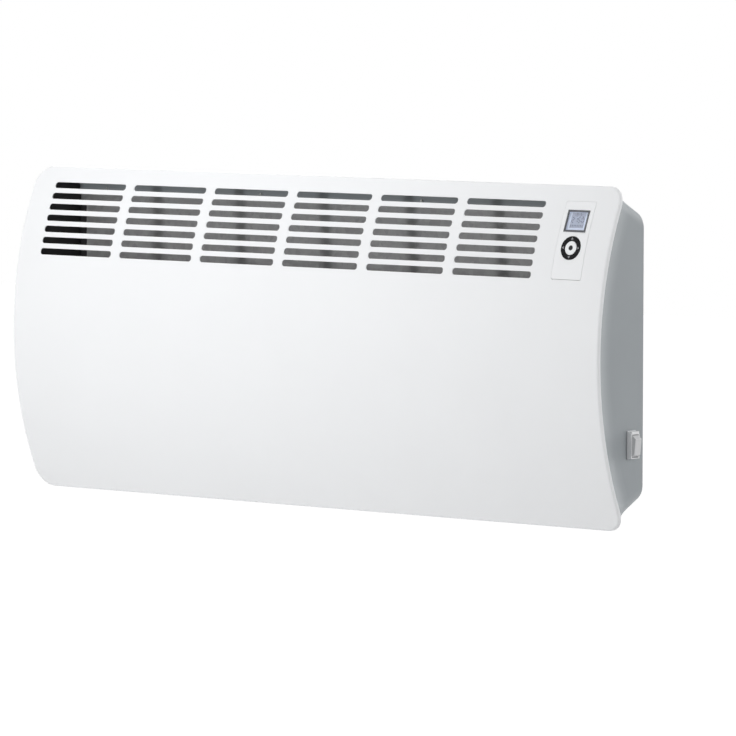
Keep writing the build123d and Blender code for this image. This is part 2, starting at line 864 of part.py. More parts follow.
def control_board():
    """Circuit board behind the display and the keys, with its connector."""
    half_u = board_width / 2
    half_v = board_height / 2
    board = board_block(-half_u, half_u, -half_v, half_v, -board_depth, -board_depth - board_sheet)
    connector_width = board_width / 3
    connector = board_block(-connector_width / 2, connector_width / 2, -half_v + 2, -half_v + 8,
                            -board_depth + 5, -board_depth)
    return board + connector


def key_switches():
    """Five push switches on the control board, one under each key's stem."""
    ring = ring_plane()
    reach = key_stem_radius_place()
    switches = []
    for u, v in ((0, 0), (reach, 0), (0, reach), (-reach, 0), (0, -reach)):
        place = bow_plane(control_x, control_arc).to_local_coords((ring * Pos(u, v, 0)).position)
        half = tact_size / 2
        body_top = -board_depth + tact_height
        body = board_block(place.X - half, place.X + half, place.Y - half, place.Y + half,
                           body_top, -board_depth)
        stem_end = place.Z - key_bottom_depth
        plunger_top = stem_end - key_travel - switch_gap
        plane = bow_plane(control_x, control_arc, -body_top)
        plunger = extrude(plane * Pos(place.X, place.Y, 0) * Circle(tact_plunger_radius),
                          plunger_top - body_top)
        switches.append(body + plunger)
    return joined(switches)


def control_housing():
    """Box behind the control plate, with posts that carry the control board."""
    half_u = board_width / 2 + housing_gap
    half_v = board_height / 2 + housing_gap
    outer = board_block(-half_u - housing_wall, half_u + housing_wall,
                        -half_v - housing_wall, half_v + housing_wall, 0, -housing_depth)
    floor = -housing_depth + housing_wall
    shell = outer - board_block(-half_u, half_u, -half_v, half_v, 1, floor)
    shell &= bow_cylinder(bow_radius - plate_thickness)
    board_back = -board_depth - board_sheet
    for u in (-board_width / 2 + post_inset, board_width / 2 - post_inset):
        for v in (-board_height / 2 + post_inset, board_height / 2 - post_inset):
            plane = bow_plane(control_x, control_arc, -floor)
            shell += extrude(plane * Pos(u, v, 0) * Circle(post_radius), board_back - floor)
    return shell


def power_board_faces():
    """X of the power board's two faces."""
    near = partition_x + bulkhead_sheet + spacer_height
    return near, near + power_board_sheet


def power_board():
    """Circuit board that switches the element, parallel to the partition."""
    near, away = power_board_faces()
    return block(near, away, power_board_y[0], power_board_y[1], power_board_z[0], power_board_z[1])


def board_spacers():
    """Four nylon spacers between the partition and the power board."""
    start = partition_x + bulkhead_sheet
    end = power_board_faces()[0]
    return joined([rod((start, y, z), (end, y, z), spacer_radius)
                   for y in (power_board_y[0] + spacer_inset, power_board_y[1] - spacer_inset)
                   for z in (power_board_z[0] + spacer_inset, power_board_z[1] - spacer_inset)])


def on_power_board(y_share, z_share, size):
    """A block standing on the power board; shares run from its low edge to its high edge."""
    face = power_board_faces()[1]
    y = power_board_y[0] + y_share * (power_board_y[1] - power_board_y[0])
    z = power_board_z[0] + z_share * (power_board_z[1] - power_board_z[0])
    height, depth, tall = size
    return block(face, face + height, y - depth / 2, y + depth / 2, z - tall / 2, z + tall / 2)


def relays():
    """Two relays that switch the element's two poles."""
    return joined([on_power_board(0.25, 0.14, relay_size), on_power_board(0.58, 0.14, relay_size)])


def transformer():
    """Small mains transformer: a laminated core round a coil former."""
    return on_power_board(0.35, 0.52, core_size) + on_power_board(0.35, 0.52, coil_size)


def capacitors():
    """Two smoothing capacitors standing on the power board."""
    face = power_board_faces()[1]
    span_y = power_board_y[1] - power_board_y[0]
    span_z = power_board_z[1] - power_board_z[0]
    cans = []
    for z_share in (0.78, 0.9):
        y = power_board_y[0] + 0.3 * span_y
        z = power_board_z[0] + z_share * span_z
        cans.append(rod((face, y, z), (face + capacitor_length, y, z), capacitor_radius))
    return joined(cans)


def power_strip_middle():
    """Centre of the terminal strip at the power board's rear edge."""
    x = power_board_faces()[1] + power_strip_depth / 2
    y = power_board_y[1] - power_strip_inset - power_strip_width / 2
    return x, y, (power_board_z[0] + power_board_z[1]) / 2


def power_terminals():
    """Screw terminal strip for the element's and the mains leads."""
    x, y, z = power_strip_middle()
    outer = x + power_strip_depth / 2
    strip = block(x - power_strip_depth / 2, outer, y - power_strip_width / 2, y + power_strip_width / 2,
                  z - power_strip_height / 2, z + power_strip_height / 2)
    for step in range(-2, 3):
        hole_z = z + step * power_strip_pitch
        strip -= rod((outer - power_strip_hole_depth, y, hole_z), (outer + 1, y, hole_z),
                     power_strip_hole_radius)
    return strip


def switch_frame():
    """Housing of the mains switch: a proud frame outside the cheek and a pocket inside it."""
    half_depth = switch_frame_depth / 2
    half_long = switch_frame_height / 2
    face_x = side_x + switch_frame_proud
    face_low = -half_long + switch_frame_bottom_slope
    face_high = half_long - switch_frame_top_slope
    with BuildSketch(Plane.XZ) as outline:
        with BuildLine():
            Polyline((side_x, -half_long), (face_x, face_low), (face_x, face_high),
                     (side_x, half_long), (side_x, -half_long))
        make_face()
    proud = Pos(0, switch_y, switch_z) * extrude(outline.sketch, half_depth, both=True)
    frame = proud + switch_cutter(0.0, switch_body_inset)
    pocket_half_depth = half_depth - switch_frame_rim
    pocket_half_long = rocker_radius + rocker_gap
    frame -= block(rocker_floor_x(), face_x + switch_frame_proud,
                   switch_y - pocket_half_depth, switch_y + pocket_half_depth,
                   rocker_pivot_z - pocket_half_long, rocker_pivot_z + pocket_half_long)
    pin_end = rocker_half_width() + rocker_pin_length + rocker_pin_gap
    return frame - rod((rocker_pivot_x, switch_y - pin_end, rocker_pivot_z),
                       (rocker_pivot_x, switch_y + pin_end, rocker_pivot_z),
                       rocker_pin_radius + rocker_pin_gap)


def rocker_half_width():
    """Half the rocker's width along Y, which leaves a gap to the pocket's sides."""
    return switch_frame_depth / 2 - switch_frame_rim - rocker_gap


def rocker_floor_x():
    """X of the pocket's floor, clear of the rocker's foot at both ends of its tilt."""
    tilt = math.radians(rocker_tilt)
    drop = rocker_foot_distance * math.cos(tilt) + rocker_foot_half_length * math.sin(tilt)
    return rocker_pivot_x - drop - rocker_floor_gap


def rocker():
    """Grey rocker of the mains switch, with its upper end out and its lower end pressed in."""
    shoulder = math.sqrt(rocker_radius ** 2 - rocker_shoulder_distance ** 2)
    middle_angle = (math.atan2(shoulder, rocker_shoulder_distance) + math.pi / 2) / 2
    bulge = (rocker_radius * math.cos(middle_angle), rocker_radius * math.sin(middle_angle))
    face = rocker_face_distance
    with BuildSketch(Plane.XZ) as profile:
        with BuildLine():
            Polyline((rocker_shoulder_distance, -shoulder), (face, -rocker_face_half_length),
                     (face, rocker_face_half_length), (rocker_shoulder_distance, shoulder))
            ThreePointArc((rocker_shoulder_distance, shoulder), bulge, (0, rocker_radius))
            Polyline((0, rocker_radius), (-rocker_foot_distance, rocker_foot_half_length),
                     (-rocker_foot_distance, -rocker_foot_half_length), (0, -rocker_radius))
            ThreePointArc((0, -rocker_radius), (bulge[0], -bulge[1]), (rocker_shoulder_distance, -shoulder))
        make_face()
    half_width = rocker_half_width()
    body = extrude(profile.sketch, half_width, both=True)
    rounded = [edge for edge in body.edges() if edge.center().X > rocker_shoulder_distance + 0.1]
    body = fillet(rounded, rocker_edge_radius)
    pin_end = half_width + rocker_pin_length
    body += rod((0, -pin_end, 0), (0, pin_end, 0), rocker_pin_radius)
    return Pos(rocker_pivot_x, switch_y, rocker_pivot_z) * Rot(0, rocker_tilt, 0) * body


def switch_contacts():
    """Contact block behind the switch's frame, with four spade blades."""
    front = side_x - switch_body_inset
    back = front - contact_length
    shape = block(back, front, switch_y - contact_depth / 2, switch_y + contact_depth / 2,
                  switch_z - contact_height / 2, switch_z + contact_height / 2)
    for y_sign in (-1, 1):
        for z_sign in (-1, 1):
            y = switch_y + y_sign * contact_spacing_y / 2
            z = switch_z + z_sign * contact_spacing_z / 2
            shape += block(back - contact_blade_length, back,
                           y - contact_blade_sheet / 2, y + contact_blade_sheet / 2,
                           z - contact_blade_width / 2, z + contact_blade_width / 2)
    return shape


def terminal_block():
    """Mains terminal block on the rear panel, with a screw hole for each conductor."""
    front_y = rear_front_y - terminal_depth
    shape = block(terminal_x - terminal_width / 2, terminal_x + terminal_width / 2, front_y, rear_front_y,
                  terminal_z - terminal_height / 2, terminal_z + terminal_height / 2)
    pitch = terminal_width / terminal_ways
    for way in range(terminal_ways):
        x = terminal_x + (way - (terminal_ways - 1) / 2) * pitch
        shape -= rod((x, front_y - 1, terminal_z), (x, front_y + terminal_depth / 2, terminal_z),
                     terminal_screw_radius)
    return shape


def cord_gland():
    """Gland through the rear panel for the mains cord, open along its whole length."""
    nozzle_end = rear_back_y + gland_flange_thickness + gland_nozzle_length
    inner_end = rear_front_y - gland_inner_length
    flange_end = rear_back_y + gland_flange_thickness
    body = rod((gland_x, flange_end, gland_z), (gland_x, inner_end, gland_z), gland_body_radius)
    flange = rod((gland_x, rear_back_y, gland_z), (gland_x, flange_end, gland_z), gland_flange_radius)
    nozzle = rod((gland_x, flange_end, gland_z), (gland_x, nozzle_end, gland_z), gland_nozzle_radius)
    bore = rod((gland_x, nozzle_end + 1, gland_z), (gland_x, inner_end - 1, gland_z), gland_bore_radius)
    return body + flange + nozzle - bore


def gland_nut():
    """Hexagonal nut that clamps the gland from inside the heater."""
    plane = Plane(origin=(gland_x, rear_front_y, gland_z), x_dir=(1, 0, 0), z_dir=(0, -1, 0))
    hexagon = plane * RegularPolygon(gland_nut_across / 2, 6, major_radius=False)
    nut = extrude(hexagon, gland_nut_thickness)
    return nut - rod((gland_x, 0, gland_z), (gland_x, -far, gland_z), gland_body_radius + gland_hole_gap / 2)


def sensor_holder():
    """Clip on the rear panel that holds the room-temperature probe in the cool air."""
    half_x = sensor_radius + sensor_holder_wall
    front_y = rear_front_y - sensor_stand_off - half_x
    shape = block(sensor_x - half_x, sensor_x + half_x, front_y, rear_front_y,
                  sensor_z - sensor_holder_height / 2, sensor_z + sensor_holder_height / 2)
    axis_y = rear_front_y - sensor_stand_off
    return shape - rod((sensor_x, axis_y, sensor_z - sensor_holder_height),
                       (sensor_x, axis_y, sensor_z + sensor_holder_height), sensor_radius + sensor_gap)


def room_sensor():
    """Slim temperature probe with a rounded tip, standing in its holder."""
    axis_y = rear_front_y - sensor_stand_off
    half = sensor_length / 2
    probe = rod((sensor_x, axis_y, sensor_z - half), (sensor_x, axis_y, sensor_z + half), sensor_radius)
    return fillet(probe.edges().sort_by(Axis.Z)[0], sensor_radius * 0.9)


def panel_brackets():
    """Six small brackets, welded inside the front panel, that reach back to the channels."""
    inner = casing_core(channel_sheet, -wall_gap)
    weld_radius = panel_inner_radius - bracket_strip_sheet
    strip = bow_cylinder(panel_inner_radius) - bow_cylinder(weld_radius)
    strip_high = half_height - bracket_strip_edge
    strip_low = strip_high - bracket_strip_height
    front_y = bow_depth(panel_inner_radius, strip_high)
    back_y = front_y + bracket_strip_width
    half = bracket_strip_width / 2
    leg_low = strip_high - bracket_strip_sheet
    outer_x = half_width - bracket_strip_side_margin
    brackets = []
    for x in (-outer_x, 0, outer_x):
        for sign in (-1, 1):
            face = strip & block(x - half, x + half, -far, rear_front_y,
                                 sign * strip_low, sign * strip_high)
            leg = block(x - half, x + half, front_y - 1, back_y, sign * leg_low, sign * strip_high)
            lap_y = bow_depth(casing_front_radius, leg_low) + bracket_strip_sheet
            near = leg & block(-far, far, -far, lap_y, -far, far) & bow_cylinder(panel_inner_radius)
            brackets.append(face + near + (leg & inner))
    return joined(brackets)


def bracket_uprights():
    """Two upright channels of the wall bracket, with the four wall-screw holes."""
    uprights = []
    half = upright_width / 2
    tall = upright_height / 2
    for x in (-upright_x, upright_x):
        web = block(x - half, x + half, -bracket_sheet, 0, -tall, tall)
        left = block(x - half, x - half + bracket_sheet, -upright_depth, 0, -tall, tall)
        right = block(x + half - bracket_sheet, x + half, -upright_depth, 0, -tall, tall)
        upright = web + left + right
        for sign in (-1, 1):
            z = sign * wall_screw_spacing_z / 2
            upright -= rod((x, 1, z), (x, -bracket_sheet - 1, z), wall_screw_hole_radius)
            notch = rail_height / 2 + rail_notch_gap
            upright -= block(-upright_x + half / 2, upright_x - half / 2,
                             -2 * bracket_sheet - rail_notch_gap, -bracket_sheet,
                             sign * rail_z - notch, sign * rail_z + notch)
            upright -= [rod((x, 1, rivet_z), (x, -bracket_sheet - 1, rivet_z), rivet_radius)
                        for x, rivet_z in rivet_places() if rivet_z * sign > 0]
        uprights.append(upright)
    return joined(uprights)


def rivet_places():
    """X and Z of the rivets that join the rails to the uprights."""
    x = rail_half_length() - rivet_inset
    return [(x_sign * x, z_sign * rail_z) for x_sign in (-1, 1) for z_sign in (-1, 1)]


def rail_half_length():
    """The rails end just short of the far flange of each upright."""
    return upright_x + upright_width / 2 - bracket_sheet - rail_notch_gap


def bracket_rail(z):
    """A flat bar across both uprights, with a hole for each rivet."""
    length = rail_half_length()
    rail = block(-length, length, -2 * bracket_sheet, -bracket_sheet,
                 z - rail_height / 2, z + rail_height / 2)
    return rail - [rod((x, 0, rivet_z), (x, -far, rivet_z), rivet_radius) for x, rivet_z in rivet_places()]


def bracket_rivets():
    """Four rivets through the rails and the uprights, flush with the wall."""
    rivets = []
    rail_front = -2 * bracket_sheet
    for x, z in rivet_places():
        shank = rod((x, 0, z), (x, rail_front, z), rivet_radius)
        head = rod((x, rail_front, z), (x, rail_front - rivet_head_height, z), rivet_head_radius)
        rivets.append(shank + head)
    return joined(rivets)


def bracket_hooks():
    """Four hooks welded to the uprights; the rear panel's slots hang on them."""
    hooks = []
    half = hook_width / 2
    tip_y = rear_front_y - hook_reach
    for x in (-upright_x, upright_x):
        for z in (upper_hook_z, lower_hook_z):
            tongue = block(x - half, x + half, tip_y, -bracket_sheet, z - hook_thickness, z)
            lip = block(x - half, x + half, tip_y, tip_y + hook_thickness, z, z + hook_lip)
            hooks.append(tongue + lip)
    return joined(hooks)


def lead(points):
    """An insulated wire along straight runs joined by the largest arcs that fit."""
    radii = []
    for before, corner, after in zip(points, points[1:], points[2:]):
        one = Vector(*corner) - Vector(*before)
        two = Vector(*after) - Vector(*corner)
        half_turn = math.radians(one.get_angle(two)) / 2
        radii.append(0.45 * min(one.length, two.length) / math.tan(half_turn))
    path = FilletPolyline(*points, radius=radii)
    section = Plane(origin=path @ 0, z_dir=path % 0) * Circle(lead_radius)
    return sweep(section, path=path)


def element_leads():
    """Wires from the power board to the cut-out and on to the element's two pins."""
    pins_x = element_ends()[1] + tube_overrun + pin_length
    blades_x = partition_x + bulkhead_sheet + cutout_body_length + cutout_blade_length
    strip_x, strip_y, strip_z = power_strip_middle()
    strip_low = strip_z - power_strip_height / 2
    upper_y = cutout_y + cutout_radius / 2
    lower_y = cutout_y - cutout_radius / 2
    near_x, near_y = strip_x - power_strip_depth / 4, strip_y - power_strip_width / 4
    away_x, away_y = strip_x + power_strip_depth / 4, strip_y + power_strip_width / 4
    run = lead_run
    front_pin_y = element_y - pin_offset
    rear_pin_y = element_y + pin_offset
    to_cutout = [(blades_x, upper_y, cutout_z), (blades_x + run, upper_y, cutout_z),
                 (blades_x + run, near_y - 0.1 * run, strip_low - 2.2 * run),
                 (near_x, near_y, strip_low - 1.2 * run), (near_x, near_y, strip_low)]
    to_first_pin = [(blades_x, lower_y, cutout_z), (blades_x + 0.9 * run, lower_y, cutout_z),
                    (pins_x + 1.4 * run, lower_y - 0.1 * run, cutout_z - 2.5 * run),
                    (pins_x + 0.9 * run, front_pin_y, element_z), (pins_x, front_pin_y, element_z)]
    to_second_pin = [(pins_x, rear_pin_y, element_z), (pins_x + 1.1 * run, rear_pin_y, element_z),
                     (pins_x + 1.9 * run, element_y + run, element_z + 2 * run),
                     (pins_x + 1.9 * run, element_y + 2 * run, element_z + 6 * run),
                     (away_x, away_y, strip_low - 1.6 * run), (away_x, away_y, strip_low)]
    return joined([lead(to_cutout), lead(to_first_pin), lead(to_second_pin)])


def mains_leads():
    """Wires from the terminal block to the mains switch and on to the power board."""
    blades_x = side_x - switch_reach()
    blade_y = switch_y - contact_spacing_y / 2
    low_z = switch_z - contact_spacing_z / 2
    high_z = switch_z + contact_spacing_z / 2
    block_top = terminal_z + terminal_height / 2
    start_x = terminal_x + terminal_width / 3
    start_y = rear_front_y - terminal_depth / 2
    strip_x, strip_y, strip_z = power_strip_middle()
    hole_z = strip_z + power_strip_pitch
    hole_end = power_board_faces()[1] + power_strip_depth - power_strip_hole_depth
    run = lead_run
    outer_x = strip_x + 2.1 * run
    to_switch = [(start_x, start_y, block_top), (start_x, start_y, block_top + 1.9 * run),
                 (blades_x - run, blade_y, low_z), (blades_x, blade_y, low_z)]
    to_board = [(blades_x, blade_y, high_z), (blades_x - run, blade_y, high_z),
                (blades_x - 1.6 * run, blade_y - 1.4 * run, high_z + 1.8 * run),
                (outer_x, strip_y + 0.3 * run, high_z + 6.8 * run),
                (outer_x, strip_y + 0.1 * run, hole_z - 1.4 * run),
                (strip_x + 1.5 * run, strip_y, hole_z), (hole_end, strip_y, hole_z)]
    return joined([lead(to_switch), lead(to_board)])


def write(parts):
    """Write one STEP file for each named sub-part."""
    os.makedirs("parts", exist_ok=True)
    for name, shape in parts.items():
        export_step(shape, f"parts/{name}.step")


def all_parts():
    """Every sub-part by its name."""
    cheek_left, cheek_right = side_cheeks()
    channel_top, channel_bottom = channels()
    _, window, glass, light, back = display_levels()
    parts = {
        "bracket_uprights": bracket_uprights(),
        "bracket_upper_rail": bracket_rail(rail_z),
        "bracket_lower_rail": bracket_rail(-rail_z),
        "bracket_rivets": bracket_rivets(),
        "bracket_hooks": bracket_hooks(),
        "front_panel": front_panel(),
        "panel_brackets": panel_brackets(),
        "side_cheek_left": cheek_left,
        "side_cheek_right": cheek_right,
        "top_channel": channel_top,
        "bottom_channel": channel_bottom,
        "rear_panel": rear_panel(),
        "rear_panel_screws": rear_panel_screws(),
        "wall_buffers": wall_buffers(),
        "partition_plate": partition_plate(),
        "left_bulkhead": left_bulkhead(),
        "heat_shield": heat_shield(),
        "front_baffle": front_baffle(),
        "element_tube": element_tube(),
        "element_fins": element_fins(),
        "element_bushes": element_bushes(),
        "element_pins": element_pins(),
        "thermal_cutout": thermal_cutout(),
        "control_plate": control_plate(),
        "control_housing": control_housing(),
        "display_bezel": display_bezel(),
        "display_window": display_layer(window, glass),
        "display_glass": display_layer(glass, light),
        "display_light": display_layer(light, back),
        "control_board": control_board(),
        "key_switches": key_switches(),
        "key_carrier": key_carrier(),
        "right_key": arc_key(0),
        "up_key": arc_key(90),
        "left_key": arc_key(180),
        "down_key": arc_key(270),
        "ok_key": ok_key(),
        "power_board": power_board(),
        "board_spacers": board_spacers(),
        "relays": relays(),
        "transformer": transformer(),
        "capacitors": capacitors(),
        "power_terminals": power_terminals(),
        "element_leads": element_leads(),
        "mains_leads": mains_leads(),
        "switch_frame": switch_frame(),
        "switch_rocker": rocker(),
        "switch_contacts": switch_contacts(),
        "terminal_block": terminal_block(),
        "cord_gland": cord_gland(),
        "gland_nut": gland_nut(),
        "sensor_holder": sensor_holder(),
        "room_sensor": room_sensor(),
    }
    return parts


write(all_parts())
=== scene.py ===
import math

import bmesh
import bpy
from mathutils import Matrix, Vector


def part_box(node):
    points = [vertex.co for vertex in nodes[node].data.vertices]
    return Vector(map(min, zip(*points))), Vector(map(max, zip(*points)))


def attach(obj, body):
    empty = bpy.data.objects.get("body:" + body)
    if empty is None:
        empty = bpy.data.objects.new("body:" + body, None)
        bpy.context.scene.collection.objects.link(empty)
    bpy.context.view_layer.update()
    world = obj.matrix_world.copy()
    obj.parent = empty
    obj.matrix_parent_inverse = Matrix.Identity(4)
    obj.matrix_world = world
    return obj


# Wall convector heater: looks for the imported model. Metres, in the frame of the CAD model:
# +X to the right of someone facing it, the front faces -Y, +Z is up.

# Camera of the photograph
camera_azimuth = math.radians(40.35)
camera_elevation = math.radians(4.10)
camera_roll = math.radians(0.10)
camera_distance = 8.797
camera_target = Vector((0.08013, -0.05858, -0.03334))
camera_lens = 305.6
camera_sensor = 36.0

# Studio
ambient_strength = 0.35
white_strength = 1.0
floor_colour = (0.8, 0.8, 0.8, 1.0)
floor_glow = 0.75
floor_glow_near = 0.32
floor_near = 1.3
floor_far = 2.5
floor_z = -0.9
floor_reach = 12.0

# Lamps: place, the point they face, width and height, watts, spread of the beam in degrees
lamps = {
    "key_light": ((-0.38, -2.49, 0.4), (-0.38, -0.05, 0.05), (0.35, 1.0), 15.8, 130.0),
    "high_light": ((-0.3, -0.9, 1.6), (-0.2, -0.05, 0.1), (1.0, 0.5), 1.7, 90.0),
    "top_light": ((0.3, 0.2, 2.4), (0.2, -0.05, 0), (1.6, 0.8), 11.0, 180.0),
    "front_right_light": ((3.6, -3.0, 0.5), (0.3, -0.1, 0), (1.5, 1.5), 16.0, 180.0),
    "right_light": ((2.6, 0.9, 0.6), (0.5, -0.1, 0), (1.2, 1.8), 15.6, 180.0),
    "rear_light": ((1.2, 3.0, 0.6), (0.5, -0.1, 0), (1.2, 1.8), 18.0, 180.0),
    "left_light": ((-2.4, 1.8, 0.8), (0, 0, 0), (1.2, 1.6), 22.9, 180.0),
}

# Bowed front
bow_radius = 0.505

# Paint and plastic: patches of tint this many to the metre
mottle_scale = 9.0

# Small flat marks
mark_thickness = 0.00012
screen_mark_thickness = 0.00008
arrow_distance = 0.0134
arrow_width = 0.0044
arrow_height = 0.0034
middle_dot_radius = 0.0035
# Size of the painted shade crosses on the screw heads
recess_length = 0.0034
recess_width = 0.0008
screw_reach = 0.02

# Screen: figures as (figure, place to the right of its centre), heights above its centre
field_half_width = 0.0118
field_bottom = -0.0094
field_top = 0.0126
small_figures = ((1, -0.0072), (8, -0.0028), (3, 0.0032), (0, 0.0076))
small_row_height = 0.0094
small_figure_size = (0.0024, 0.0040)
small_stroke = 0.0011
colon_dot_radius = 0.00045
colon_right = 0.0002
colon_half_gap = 0.0008
large_figures = ((2, -0.0082), (1, -0.0026), (5, 0.0024), (0, 0.0084))
large_row_height = 0.0020
large_figure_size = (0.0036, 0.0070)
large_stroke = 0.0020
bar_count = 8
bar_size = (0.0021, 0.0030)
bar_pitch = 0.0028
first_bar_right = -0.0098
bar_row_height = -0.0062

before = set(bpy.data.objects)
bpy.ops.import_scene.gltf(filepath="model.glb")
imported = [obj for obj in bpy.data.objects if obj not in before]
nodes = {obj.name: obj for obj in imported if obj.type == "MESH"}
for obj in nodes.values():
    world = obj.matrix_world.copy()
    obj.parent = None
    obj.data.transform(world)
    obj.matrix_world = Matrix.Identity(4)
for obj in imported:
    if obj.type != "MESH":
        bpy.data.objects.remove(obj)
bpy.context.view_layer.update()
bow_axis_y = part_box("front_panel")[0].y + bow_radius


def new_material(name):
    """A material with an empty node tree that ends in a Principled shader."""
    made = bpy.data.materials.new(name)
    made.use_nodes = True
    tree = made.node_tree
    tree.nodes.clear()
    output = tree.nodes.new("ShaderNodeOutputMaterial")
    shader = tree.nodes.new("ShaderNodeBsdfPrincipled")
    tree.links.new(shader.outputs["BSDF"], output.inputs["Surface"])
    return made, tree, shader


def place(tree, stretch=(1, 1, 1)):
    """Coordinates of the surface in the object's own space, stretched along the axes."""
    coordinates = tree.nodes.new("ShaderNodeTexCoord")
    mapping = tree.nodes.new("ShaderNodeMapping")
    mapping.inputs["Scale"].default_value = stretch
    tree.links.new(coordinates.outputs["Object"], mapping.inputs["Vector"])
    return mapping.outputs["Vector"]


def noise(tree, vector, scale, detail=3.0, roughness=0.5):
    """Soft noise with a size of about 1 / scale metres."""
    made = tree.nodes.new("ShaderNodeTexNoise")
    made.inputs["Scale"].default_value = scale
    made.inputs["Detail"].default_value = detail
    made.inputs["Roughness"].default_value = roughness
    tree.links.new(vector, made.inputs["Vector"])
    return made.outputs["Fac"]


def between(tree, factor, low, high):
    """A value from low to high as the factor goes over the noise's middle range."""
    made = tree.nodes.new("ShaderNodeMapRange")
    made.inputs["From Min"].default_value = 0.3
    made.inputs["From Max"].default_value = 0.7
    made.inputs["To Min"].default_value = low
    made.inputs["To Max"].default_value = high
    tree.links.new(factor, made.inputs["Value"])
    return made.outputs["Result"]


def ramp(tree, factor, stops):
    """A colour ramp; stops are (position, colour)."""
    made = tree.nodes.new("ShaderNodeValToRGB")
    elements = made.color_ramp.elements
    while len(elements) < len(stops):
        elements.new(0.5)
    for element, (position, colour) in zip(elements, stops):
        element.position = position
        element.color = (*colour, 1.0)
    tree.links.new(factor, made.inputs["Fac"])
    return made.outputs["Color"]


def bump(tree, shader, height, strength, distance):
    """Relief from a height value."""
    made = tree.nodes.new("ShaderNodeBump")
    made.inputs["Strength"].default_value = strength
    made.inputs["Distance"].default_value = distance
    tree.links.new(height, made.inputs["Height"])
    tree.links.new(made.outputs["Normal"], shader.inputs["Normal"])


def shade(colour, factor):
    """A colour made lighter or darker by a factor."""
    return tuple(min(1.0, part * factor) for part in colour)


def coated(name, colour, roughness=0.38, grain=1400.0, relief=0.04, variation=0.012, coat=0.0,
           specular=0.5):
    """Paint or moulded plastic: faint mottling, fine grain and an uneven gloss."""
    made, tree, shader = new_material(name)
    where = place(tree)
    broad = noise(tree, where, mottle_scale, 4.0)
    fine = noise(tree, where, grain, 2.0)
    tint = ramp(tree, broad, [(0.3, shade(colour, 1 - variation)), (0.7, shade(colour, 1 + variation))])
    tree.links.new(tint, shader.inputs["Base Color"])
    tree.links.new(between(tree, fine, roughness * 0.9, roughness * 1.12), shader.inputs["Roughness"])
    shader.inputs["Specular IOR Level"].default_value = specular
    shader.inputs["Coat Weight"].default_value = coat
    shader.inputs["Coat Roughness"].default_value = 0.12
    bump(tree, shader, fine, relief, 0.0004)
    return made


def brushed(name, colour, roughness=0.34, stretch=(1, 1, 60), relief=0.05, variation=0.06):
    """Bare metal with fine lines along one direction."""
    made, tree, shader = new_material(name)
    lines = noise(tree, place(tree, stretch), 90.0, 5.0, 0.65)
    broad = noise(tree, place(tree), 14.0, 3.0)
    tint = ramp(tree, lines, [(0.25, shade(colour, 1 - variation)), (0.75, shade(colour, 1 + variation))])
    tree.links.new(tint, shader.inputs["Base Color"])
    tree.links.new(between(tree, broad, roughness * 0.8, roughness * 1.25), shader.inputs["Roughness"])
    shader.inputs["Metallic"].default_value = 1.0
    bump(tree, shader, lines, relief, 0.0003)
    return made


def spangled(name, colour, roughness=0.42, metallic=0.85):
    """Galvanised sheet: crystal patches a few millimetres across with a dull, uneven sheen."""
    made, tree, shader = new_material(name)
    where = place(tree)
    cells = tree.nodes.new("ShaderNodeTexVoronoi")
    cells.inputs["Scale"].default_value = 140.0
    cells.inputs["Randomness"].default_value = 1.0
    tree.links.new(where, cells.inputs["Vector"])
    grey = tree.nodes.new("ShaderNodeRGBToBW")
    tree.links.new(cells.outputs["Color"], grey.inputs["Color"])
    tint = ramp(tree, grey.outputs["Val"], [(0.1, shade(colour, 0.86)), (0.9, shade(colour, 1.1))])
    tree.links.new(tint, shader.inputs["Base Color"])
    tree.links.new(between(tree, grey.outputs["Val"], roughness * 0.85, roughness * 1.2),
                   shader.inputs["Roughness"])
    shader.inputs["Metallic"].default_value = metallic
    bump(tree, shader, noise(tree, where, 60.0, 3.0), 0.06, 0.0006)
    return made


def clear_window(name):
    """Clear plastic window, thin enough to see the screen behind it."""
    made, tree, shader = new_material(name)
    dust = noise(tree, place(tree), 900.0, 2.0)
    shader.inputs["Base Color"].default_value = (0.96, 0.97, 1.0, 1.0)
    shader.inputs["Transmission Weight"].default_value = 1.0
    shader.inputs["IOR"].default_value = 1.15
    tree.links.new(between(tree, dust, 0.02, 0.06), shader.inputs["Roughness"])
    return made


def screen_panel(name, colour):
    """Pale screen with a faint grid of picture elements and a softly lit face."""
    made, tree, shader = new_material(name)
    where = place(tree)
    grid = tree.nodes.new("ShaderNodeTexVoronoi")
    grid.inputs["Scale"].default_value = 1800.0
    grid.inputs["Randomness"].default_value = 0.0
    tree.links.new(where, grid.inputs["Vector"])
    tint = ramp(tree, grid.outputs["Distance"], [(0.3, colour), (0.75, shade(colour, 0.93))])
    tree.links.new(tint, shader.inputs["Base Color"])
    tree.links.new(between(tree, noise(tree, where, 40.0), 0.18, 0.26), shader.inputs["Roughness"])
    shader.inputs["Emission Color"].default_value = (*colour, 1.0)
    shader.inputs["Emission Strength"].default_value = 0.18
    return made


def circuit(name):
    """Circuit board: green resist over a faint pattern of copper tracks."""
    made, tree, shader = new_material(name)
    where = place(tree)
    tracks = tree.nodes.new("ShaderNodeTexBrick")
    tracks.inputs["Scale"].default_value = 160.0
    tracks.inputs["Mortar Size"].default_value = 0.12
    tracks.inputs["Color1"].default_value = (0.02, 0.12, 0.055, 1.0)
    tracks.inputs["Color2"].default_value = (0.025, 0.14, 0.06, 1.0)
    tracks.inputs["Mortar"].default_value = (0.04, 0.22, 0.09, 1.0)
    tree.links.new(where, tracks.inputs["Vector"])
    tree.links.new(tracks.outputs["Color"], shader.inputs["Base Color"])
    tree.links.new(between(tree, noise(tree, where, 300.0), 0.25, 0.4), shader.inputs["Roughness"])
    return made


white_enamel = (0.83, 0.84, 0.852)
casing_grey = (0.30, 0.325, 0.342)

